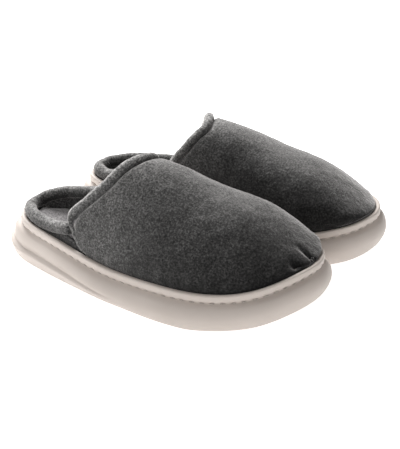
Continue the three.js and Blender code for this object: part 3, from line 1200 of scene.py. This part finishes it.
@dataclass
class Vamp:
    """The upper over the toes and instep: felt outside, foam between, lining inside."""

    throat: Profile = Profile((
        (0, 92), (0.05, 82), (0.12, 76), (0.2, 71.5), (0.3, 73.5), (0.5, 86), (math.pi / 4, 100),
        (1.05, 107), (1.16, 109.5), (1.45, 115.5), (1.72, 119.5), (1.88, 120), (2.09, 116),
        (math.pi * 0.75, 109), (math.pi - 0.5, 98.5), (math.pi - 0.3, 90), (math.pi - 0.15, 86),
        (math.pi - 0.05, 88), (math.pi, 94),
    ))
    rows: int = 190
    columns: int = 200
    overhang: float = 2.4
    tuck_in: float = 1.4
    skirt: float = 12.0
    felt: float = 2.2
    padding: float = 3.0
    lining: float = 1.6
    seam_from_edge: float = 2.6
    seam_depth: float = 4.6
    seam_width: float = 3.0
    pucker: float = 0.25
    unevenness: tuple[Triple, ...] = ((0.9, 26.0, 7.7), (0.35, 9.0, 1.3), (0.16, 2.6, 5.5))
    layer_points: int = 90
    foam_recess: float = 7.0
    lining_recess: float = 1.0
    tucks: tuple[Tuck, ...] = (
        Tuck((19.5, 251.0, 54.0), (11.5, 264.5, 47.5), 6.0, 2.6, 0.3, 0.8),
        Tuck((-3.0, 246.0, 60.0), (-1.0, 264.8, 49.0), 2.6, 2.1, 0.3, 0.9),
    )

    def surface(self, last: Last, depth: float, rows: int, columns: int, recess: float = 0.0) -> np.ndarray:
        """One surface of the vamp as rows from the throat to the toes.

        Args:
            last: the form.
            depth: how far inside the felt's outer face it lies.
            recess: how far ahead of the felt's rear edge it starts.
            rows: points lengthwise.
            columns: points over the arch.

        Returns:
            An array of (rows, columns + skirt, 3), from the outer side to the inner side.
        """
        inset = self.overhang + depth
        even = np.linspace(0, 1, columns)
        angle = math.pi * (even - 0.06 * np.sin(2 * math.pi * even))
        from_side = np.minimum(angle, math.pi - angle)
        start = self.throat(angle) + self.seam_from_edge * smoothstep(from_side, 0.1, 0.3) + recess
        reach = 1 - (1 - np.linspace(0, 1, rows)[:, None]) ** 1.7
        station = start[None] * (1 - reach) + last.end(inset) * reach
        arch = last.arch(station, np.broadcast_to(angle, station.shape), inset, depth)
        drops = np.array([1.2, 3.0, 6.0, self.skirt])
        outer = [arch[:, :1] - np.array([0, 0, drop]) for drop in drops[::-1]]
        inner = [arch[:, -1:] - np.array([0, 0, drop]) for drop in drops]
        points = np.concatenate([*outer, arch, *inner], axis=1)
        rise = points[..., 2] - last.rim_height(points[..., 1])
        inward = last.towards_spine(points[..., :2]) - points[..., :2]
        inward /= np.maximum(np.linalg.norm(inward, axis=-1, keepdims=True), 1e-6)
        pulled = self.tuck_in * np.exp(-np.maximum(rise, 0) / 2.2)
        points[..., :2] += inward * pulled[..., None]
        return points

    def felt_points(self, last: Last, with_tucks: bool) -> np.ndarray:
        """The felt's outer face, with its dip at the hem, puckers along the rim and soft lumps.

        Args:
            last: the form.
            with_tucks: whether the toe has its tucks.

        Returns:
            An array of (rows, columns + skirt, 3).
        """
        points = self.surface(last, 0.0, self.rows, self.columns)
        normals = self.outward(points)
        rise = points[..., 2] - last.rim_height(points[..., 1])
        from_edge = np.linalg.norm(points - points[:1], axis=-1)
        move = -self.seam_depth * np.exp(-((from_edge / self.seam_width) ** 2)) * smoothstep(rise, 10, 22)
        ripple = np.sin(points[..., 1] / 2.3 + 2.0 * lumps(points, 30.0, 3.1))
        move += self.pucker * ripple * np.exp(-((rise - 4) / 7) ** 2) * smoothstep(rise, 0, 3)
        uneven = sum(height * lumps(points, size, seed) for height, size, seed in self.unevenness)
        move += smoothstep(rise, 0.5, 5) * uneven
        points = points + normals * move[..., None]
        return self.tucked(last, points, normals) if with_tucks else points

    def tucked(self, last: Last, points: np.ndarray, normals: np.ndarray) -> np.ndarray:
        """The points moved by every tuck, above the rim."""
        above = smoothstep(points[..., 2] - last.rim_height(points[..., 1]), -0.5, 1.5)
        return points + normals * (above * sum(tuck.move(points, normals) for tuck in self.tucks))[..., None]

    def outward(self, points: np.ndarray) -> np.ndarray:
        """Works out the normals that face away from the foot.

        Args:
            points: an array of (rows, columns, 3).

        Returns:
            A unit normal at each point.
        """
        normals = surface_normals(points)
        facing = np.sum(normals * (points - np.array(INSTEP)), axis=-1, keepdims=True)
        return normals * np.where(facing < 0, -1, 1)

    def layer(self, last: Last, depth: float, recess: float, with_tucks: bool) -> bmesh.types.BMesh:
        """A coarser inner face of the vamp, for the foam or the lining."""
        points = self.surface(last, depth, self.layer_points, self.layer_points, recess)
        return grid_mesh(self.tucked(last, points, self.outward(points)) if with_tucks else points)

    def dress(self, bench: Bench) -> None:
        """Builds the three layers and gives them their finish. Only the right toe has tucks.

        Args:
            bench: the slipper's bench.
        """
        tucked = bench.placement.side is Side.RIGHT
        felt = grid_mesh(self.felt_points(bench.last, tucked))
        bench.piece(felt, "vamp", Slot.FELT, "vamp_felt", self.felt)
        under_felt = self.felt + 1.2
        foam = self.layer(bench.last, under_felt, self.foam_recess, tucked)
        bench.piece(foam, "vamp_foam", Slot.PADDING, "vamp_padding", self.padding - 1)
        under_foam = under_felt + self.padding - 0.7
        lining = self.layer(bench.last, under_foam, self.lining_recess, tucked)
        bench.piece(lining, "vamp_inside", Slot.LINING, "vamp_lining", self.lining)


@dataclass
class Throat:
    """The rolled hem round the vamp's rear edge, which thins to a welt near the rim."""

    radius: float = 4.1
    welt: float = 1.25
    depth: float = 2.2
    # Painted light: the hem's felt is painted this much paler.
    painted_light_lift: float = 0.3
    steps: int = 220
    sides: int = 26

    def points(self, last: Last, vamp: Vamp) -> np.ndarray:
        """Rings of points round the hem, from the rim on the outer side to the rim on the inner side.

        Args:
            last: the form.
            vamp: the vamp whose edge it rolls.

        Returns:
            An array of (rows, sides, 3).
        """
        even = np.linspace(0, 1, self.steps)
        angle = 0.02 + (math.pi - 0.04) * (even - 0.06 * np.sin(2 * math.pi * even))
        full = smoothstep(np.minimum(angle, math.pi - angle), 0.13, 0.3)
        depth = self.welt * (1 - full) + self.depth * full
        uneven = 1 + 0.025 * np.sin(angle * 23) + 0.015 * np.sin(angle * 51)
        radii = (self.welt * (1 - full) + self.radius * full) * uneven
        line = last.arch(vamp.throat(angle), angle, vamp.overhang, 0.0)
        centre = last.arch(vamp.throat(angle), angle, vamp.overhang + 4.0, 4.0)
        inward = centre - line
        inward /= np.linalg.norm(inward, axis=1, keepdims=True)
        across = np.tile(np.array([0.0, 1.0, 0.0]), (len(line), 1))
        return tube_points(line + inward * depth[:, None], across, radii, self.sides)

    def dress(self, bench: Bench, vamp: Vamp) -> None:
        """Builds the hem and gives it its finish.

        Args:
            bench: the slipper's bench.
            vamp: the vamp whose edge it rolls.
        """
        bm = grid_mesh(self.points(bench.last, vamp), close=True)
        ruffle(bm, (0.25, 5.0), (0.12, 2.0))
        bench.piece(bm, "hem", Slot.FELT, "throat_hem", painted_light_lift=self.painted_light_lift)


@dataclass
class Heel:
    """The padded collar round the heel and the strip of felt that joins it to the sole."""

    radius: float = 5.6
    sleeve: float = 1.5
    inset: float = 8.0
    outer_height: Profile = Profile(((12, 4.2), (25, 4.3), (38, 4.3), (50, 6.0), (60, 8.8), (74, 13.6)))
    inner_height: Profile = Profile((
        (12, 4.2), (15, 6.2), (19, 8.8), (29, 13.2), (45, 17.4), (57, 20.2), (86, 26.6),
    ))
    fall: Profile = Profile(((64, 0), (88, 10)))
    outer_end: float = 73.0
    inner_end: float = 86.0
    strip_outer_end: float = 87.0
    strip_inner_end: float = 88.0
    strip: float = 2.0
    strip_inset: float = 4.8
    lean: float = 1.2
    foot: float = -13.4
    # Painted light: the collar's felt is painted this much paler.
    painted_light_lift: float = 0.21
    rounding: float = 0.045
    puff: Puff = Puff(pressure=4.0, cap=1.0)
    steps: int = 190
    sides: int = 30

    def round_heel(
        self, last: Last, inset: float, inner_end: float, outer_end: float, count: int
    ) -> np.ndarray:
        """Points round the heel, from the inner side's end to the outer side's end.

        Args:
            last: the form.
            inset: how far inside the rim's edge they run.
            inner_end: the station where they start.
            outer_end: the station where they end.
            count: how many there are.

        Returns:
            An array of (x, y) points.
        """
        share = np.linspace(0, 0.25, 600)
        outer = share[last.rim(share, -inset)[:, 1] < outer_end][-1]
        inner = share[last.rim(1 - share, -inset)[:, 1] < inner_end][-1]
        return last.rim(np.linspace(-inner, outer, count), -inset)

    def height(self, last: Last, flat: np.ndarray) -> np.ndarray:
        """Height of the collar's middle over the rim, at places seen from above."""
        on_outer_side = flat[:, 0] > last.towards_spine(flat)[:, 0]
        return np.where(on_outer_side, self.outer_height(flat[:, 1]), self.inner_height(flat[:, 1]))

    def path(self, last: Last) -> np.ndarray:
        """The middle line of the collar."""
        flat = self.round_heel(last, self.inset, self.inner_end, self.outer_end, self.steps)
        return np.column_stack([flat, last.rim_height(flat[:, 1]) + self.height(last, flat)])

    def tube(self, last: Last, radius: float, steps: int, sides: int) -> np.ndarray:
        """Rings of points round the collar's middle line, with round ends.

        Args:
            last: the form.
            radius: the tube's radius.
            steps: rings along it.
            sides: points on a ring.

        Returns:
            An array of (rows, sides, 3).
        """
        line = self.path(last)
        if steps < len(line):
            line = line[np.linspace(0, len(line) - 1, steps).astype(int)]
        along = np.linspace(0, 1, len(line))
        past = np.maximum(np.abs(2 * along - 1) - (1 - self.rounding), 0) / self.rounding
        ends = np.sqrt(np.clip(1 - past**2, 0.03, 1))
        upright = np.tile(np.array([0.0, 0.0, 1.0]), (len(line), 1))
        return tube_points(line, upright, radius * ends, sides)

    def strip_points(self, last: Last) -> np.ndarray:
        """The outer face of the strip, from the cup up to the collar.

        Args:
            last: the form.

        Returns:
            An array of (rows, points round the heel, 3).
        """
        flat = self.round_heel(last, self.strip_inset, self.strip_inner_end, self.strip_outer_end, 120)
        y = flat[:, 1]
        rim = last.rim_height(y)
        fall = self.fall(y) * (flat[:, 0] > last.towards_spine(flat)[:, 0])
        top = self.height(last, flat) - self.radius + 1.5 - fall
        inward = last.towards_spine(flat) - flat
        inward /= np.linalg.norm(inward, axis=1, keepdims=True)
        rows = []
        for share in np.linspace(0, 1, 14):
            z = rim + self.foot * (1 - share) + top * share
            rows.append(np.column_stack([flat + inward * (self.lean * share**2), z]))
        return np.array(rows)

    def dress(self, bench: Bench) -> None:
        """Builds the strip, the collar and its foam, and gives them their finish.

        Args:
            bench: the slipper's bench.
        """
        last = bench.last
        sleeve = grid_mesh(self.tube(last, self.radius - 0.4, self.steps, self.sides), close=True)
        self.puff.settle(sleeve, lambda place: place.y > self.outer_end - 8)
        ruffle(sleeve, (0.4, 11.0), (0.2, 3.0))
        bench.piece(sleeve, "collar", Slot.FELT, "heel_collar", painted_light_lift=self.painted_light_lift)
        core = grid_mesh(self.tube(last, self.radius - self.sleeve - 0.3, 60, 14), close=True)
        bench.piece(core, "collar_core", Slot.PADDING, "collar_foam")
        wall = grid_mesh(self.strip_points(last))
        centre = Vector(HEEL_SEAT)
        if sum(face.normal.dot(face.calc_center_median() - centre) for face in wall.faces) < 0:
            bmesh.ops.reverse_faces(wall, faces=wall.faces)
        bench.piece(wall, "heel_band", Slot.FELT, "heel_strip", self.strip)


@dataclass
class Slipper:
    """One whole slipper."""

    side: Side
    angle: float
    sole: Sole = field(default_factory=Sole)
    footbed: Footbed = field(default_factory=Footbed)
    vamp: Vamp = field(default_factory=Vamp)
    throat: Throat = field(default_factory=Throat)
    heel: Heel = field(default_factory=Heel)

    def __post_init__(self) -> None:
        """Gives the left slipper its own slump: a collar lower on its inner side, and an even throat."""
        if self.side is Side.LEFT:
            start = ((0, 94), (0.05, 88), (0.15, 86), (0.3, 89), (0.5, 95.5), (0.8, 103))
            self.vamp.throat = Profile((*start, *self.vamp.throat.pairs[7:]))
            self.heel.outer_end = 85.0
            self.heel.strip_outer_end = 89.0
            self.heel.fall = Profile(((64, 0), (89, 1)))
            self.heel.outer_height = Profile((
                (12, 5), (20, 6.4), (27, 8), (36, 9.6), (47, 10), (60, 10.5), (72, 12), (86, 16),
            ))
            self.heel.inner_height = Profile((
                (12, 4.6), (18, 4.4), (26, 4.6), (40, 8), (57, 16), (86, 26.6),
            ))

    def make(self, last: Last, finishes: Finishes) -> None:
        """Makes every piece of this slipper.

        Args:
            last: the form.
            finishes: the materials.
        """
        bench = Bench(Placement.matching(self.side, last, self.angle), last, finishes)
        LOG.info("%s slipper stands at %s", self.side.value, bench.placement.offset)
        self.sole.dress(bench)
        self.footbed.dress(bench)
        self.vamp.dress(bench)
        self.throat.dress(bench, self.vamp)
        self.heel.dress(bench)


# ---------------------------------------------------------------- studio


@dataclass(frozen=True)
class SoftLight:
    """A square softbox."""

    name: str
    place: Triple
    size: float
    power: float


@dataclass
class Studio:
    """A pale floor, soft light and the camera."""

    azimuth: float = 117.69
    elevation: float = 24.87
    distance: float = 1.0332
    target: Triple = (0.002185, 0.005132, 0.030)
    lens: float = 101.97
    sensor: float = 36.0
    floor_size: float = 14.0
    lights: tuple[SoftLight, ...] = (
        SoftLight("overhead", (-0.6, -0.7, 0.85), 0.6, 28.0),
        SoftLight("heel_side", (0.35, -1.2, 0.6), 0.8, 6.0),
        SoftLight("front", (1.4, 0.7, 0.9), 1.2, 5.0),
    )
    sky: float = 0.3

    def floor(self) -> None:
        """Lays a pale matt floor."""
        bm = bmesh.new()
        bmesh.ops.create_grid(bm, x_segments=8, y_segments=8, size=self.floor_size / 2)
        mesh = bpy.data.meshes.new("floor")
        bm.to_mesh(mesh)
        bm.free()
        floor = bpy.data.objects.new("floor", mesh)
        bpy.context.scene.collection.objects.link(floor)
        nodes = Nodes("pale_floor")
        nodes.shader.inputs["Base Color"].default_value = (0.9, 0.9, 0.9, 1.0)
        nodes.shader.inputs["Roughness"].default_value = 0.9
        nodes.shader.inputs["Specular IOR Level"].default_value = 0.1
        nodes.shader.inputs["Emission Color"].default_value = (1.0, 1.0, 1.0, 1.0)
        nodes.shader.inputs["Emission Strength"].default_value = 0.7
        mesh.materials.append(nodes.material)

    def camera(self) -> None:
        """Sets the camera on its stand."""
        azimuth, elevation = math.radians(self.azimuth), math.radians(self.elevation)
        level = math.cos(elevation)
        back = Vector((math.sin(azimuth) * level, -math.cos(azimuth) * level, math.sin(elevation)))
        data = bpy.data.cameras.new("camera")
        data.lens = self.lens
        data.sensor_width = self.sensor
        camera = bpy.data.objects.new("camera", data)
        camera.location = Vector(self.target) + back * self.distance
        camera.rotation_euler = (-back).to_track_quat("-Z", "Y").to_euler()
        bpy.context.scene.collection.objects.link(camera)
        bpy.context.scene.camera = camera

    def light(self) -> None:
        """Hangs the softboxes and lights the room evenly."""
        for box in self.lights:
            data = bpy.data.lights.new(box.name, "AREA")
            data.size = box.size
            data.energy = box.power
            lamp = bpy.data.objects.new(box.name, data)
            lamp.location = box.place
            aim = Vector(self.target) - Vector(box.place)
            lamp.rotation_euler = aim.to_track_quat("-Z", "Y").to_euler()
            bpy.context.scene.collection.objects.link(lamp)
        world = bpy.data.worlds.new("room")
        world.use_nodes = True
        background = world.node_tree.nodes["Background"]
        background.inputs["Color"].default_value = (1.0, 1.0, 1.0, 1.0)
        background.inputs["Strength"].default_value = self.sky
        bpy.context.scene.world = world
        bpy.context.scene.view_settings.view_transform = "Standard"

    def set_up(self) -> None:
        """Builds the studio."""
        self.floor()
        self.camera()
        self.light()


def main() -> None:
    """Builds the studio and both slippers."""
    logging.basicConfig(level=logging.INFO, format="%(name)s %(message)s")
    Studio().set_up()
    last = Last()
    finishes = Finishes()
    finishes.make()
    Slipper(Side.RIGHT, 0.0).make(last, finishes)
    Slipper(Side.LEFT, math.radians(-0.7)).make(last, finishes)


if __name__ == "__main__":
    main()
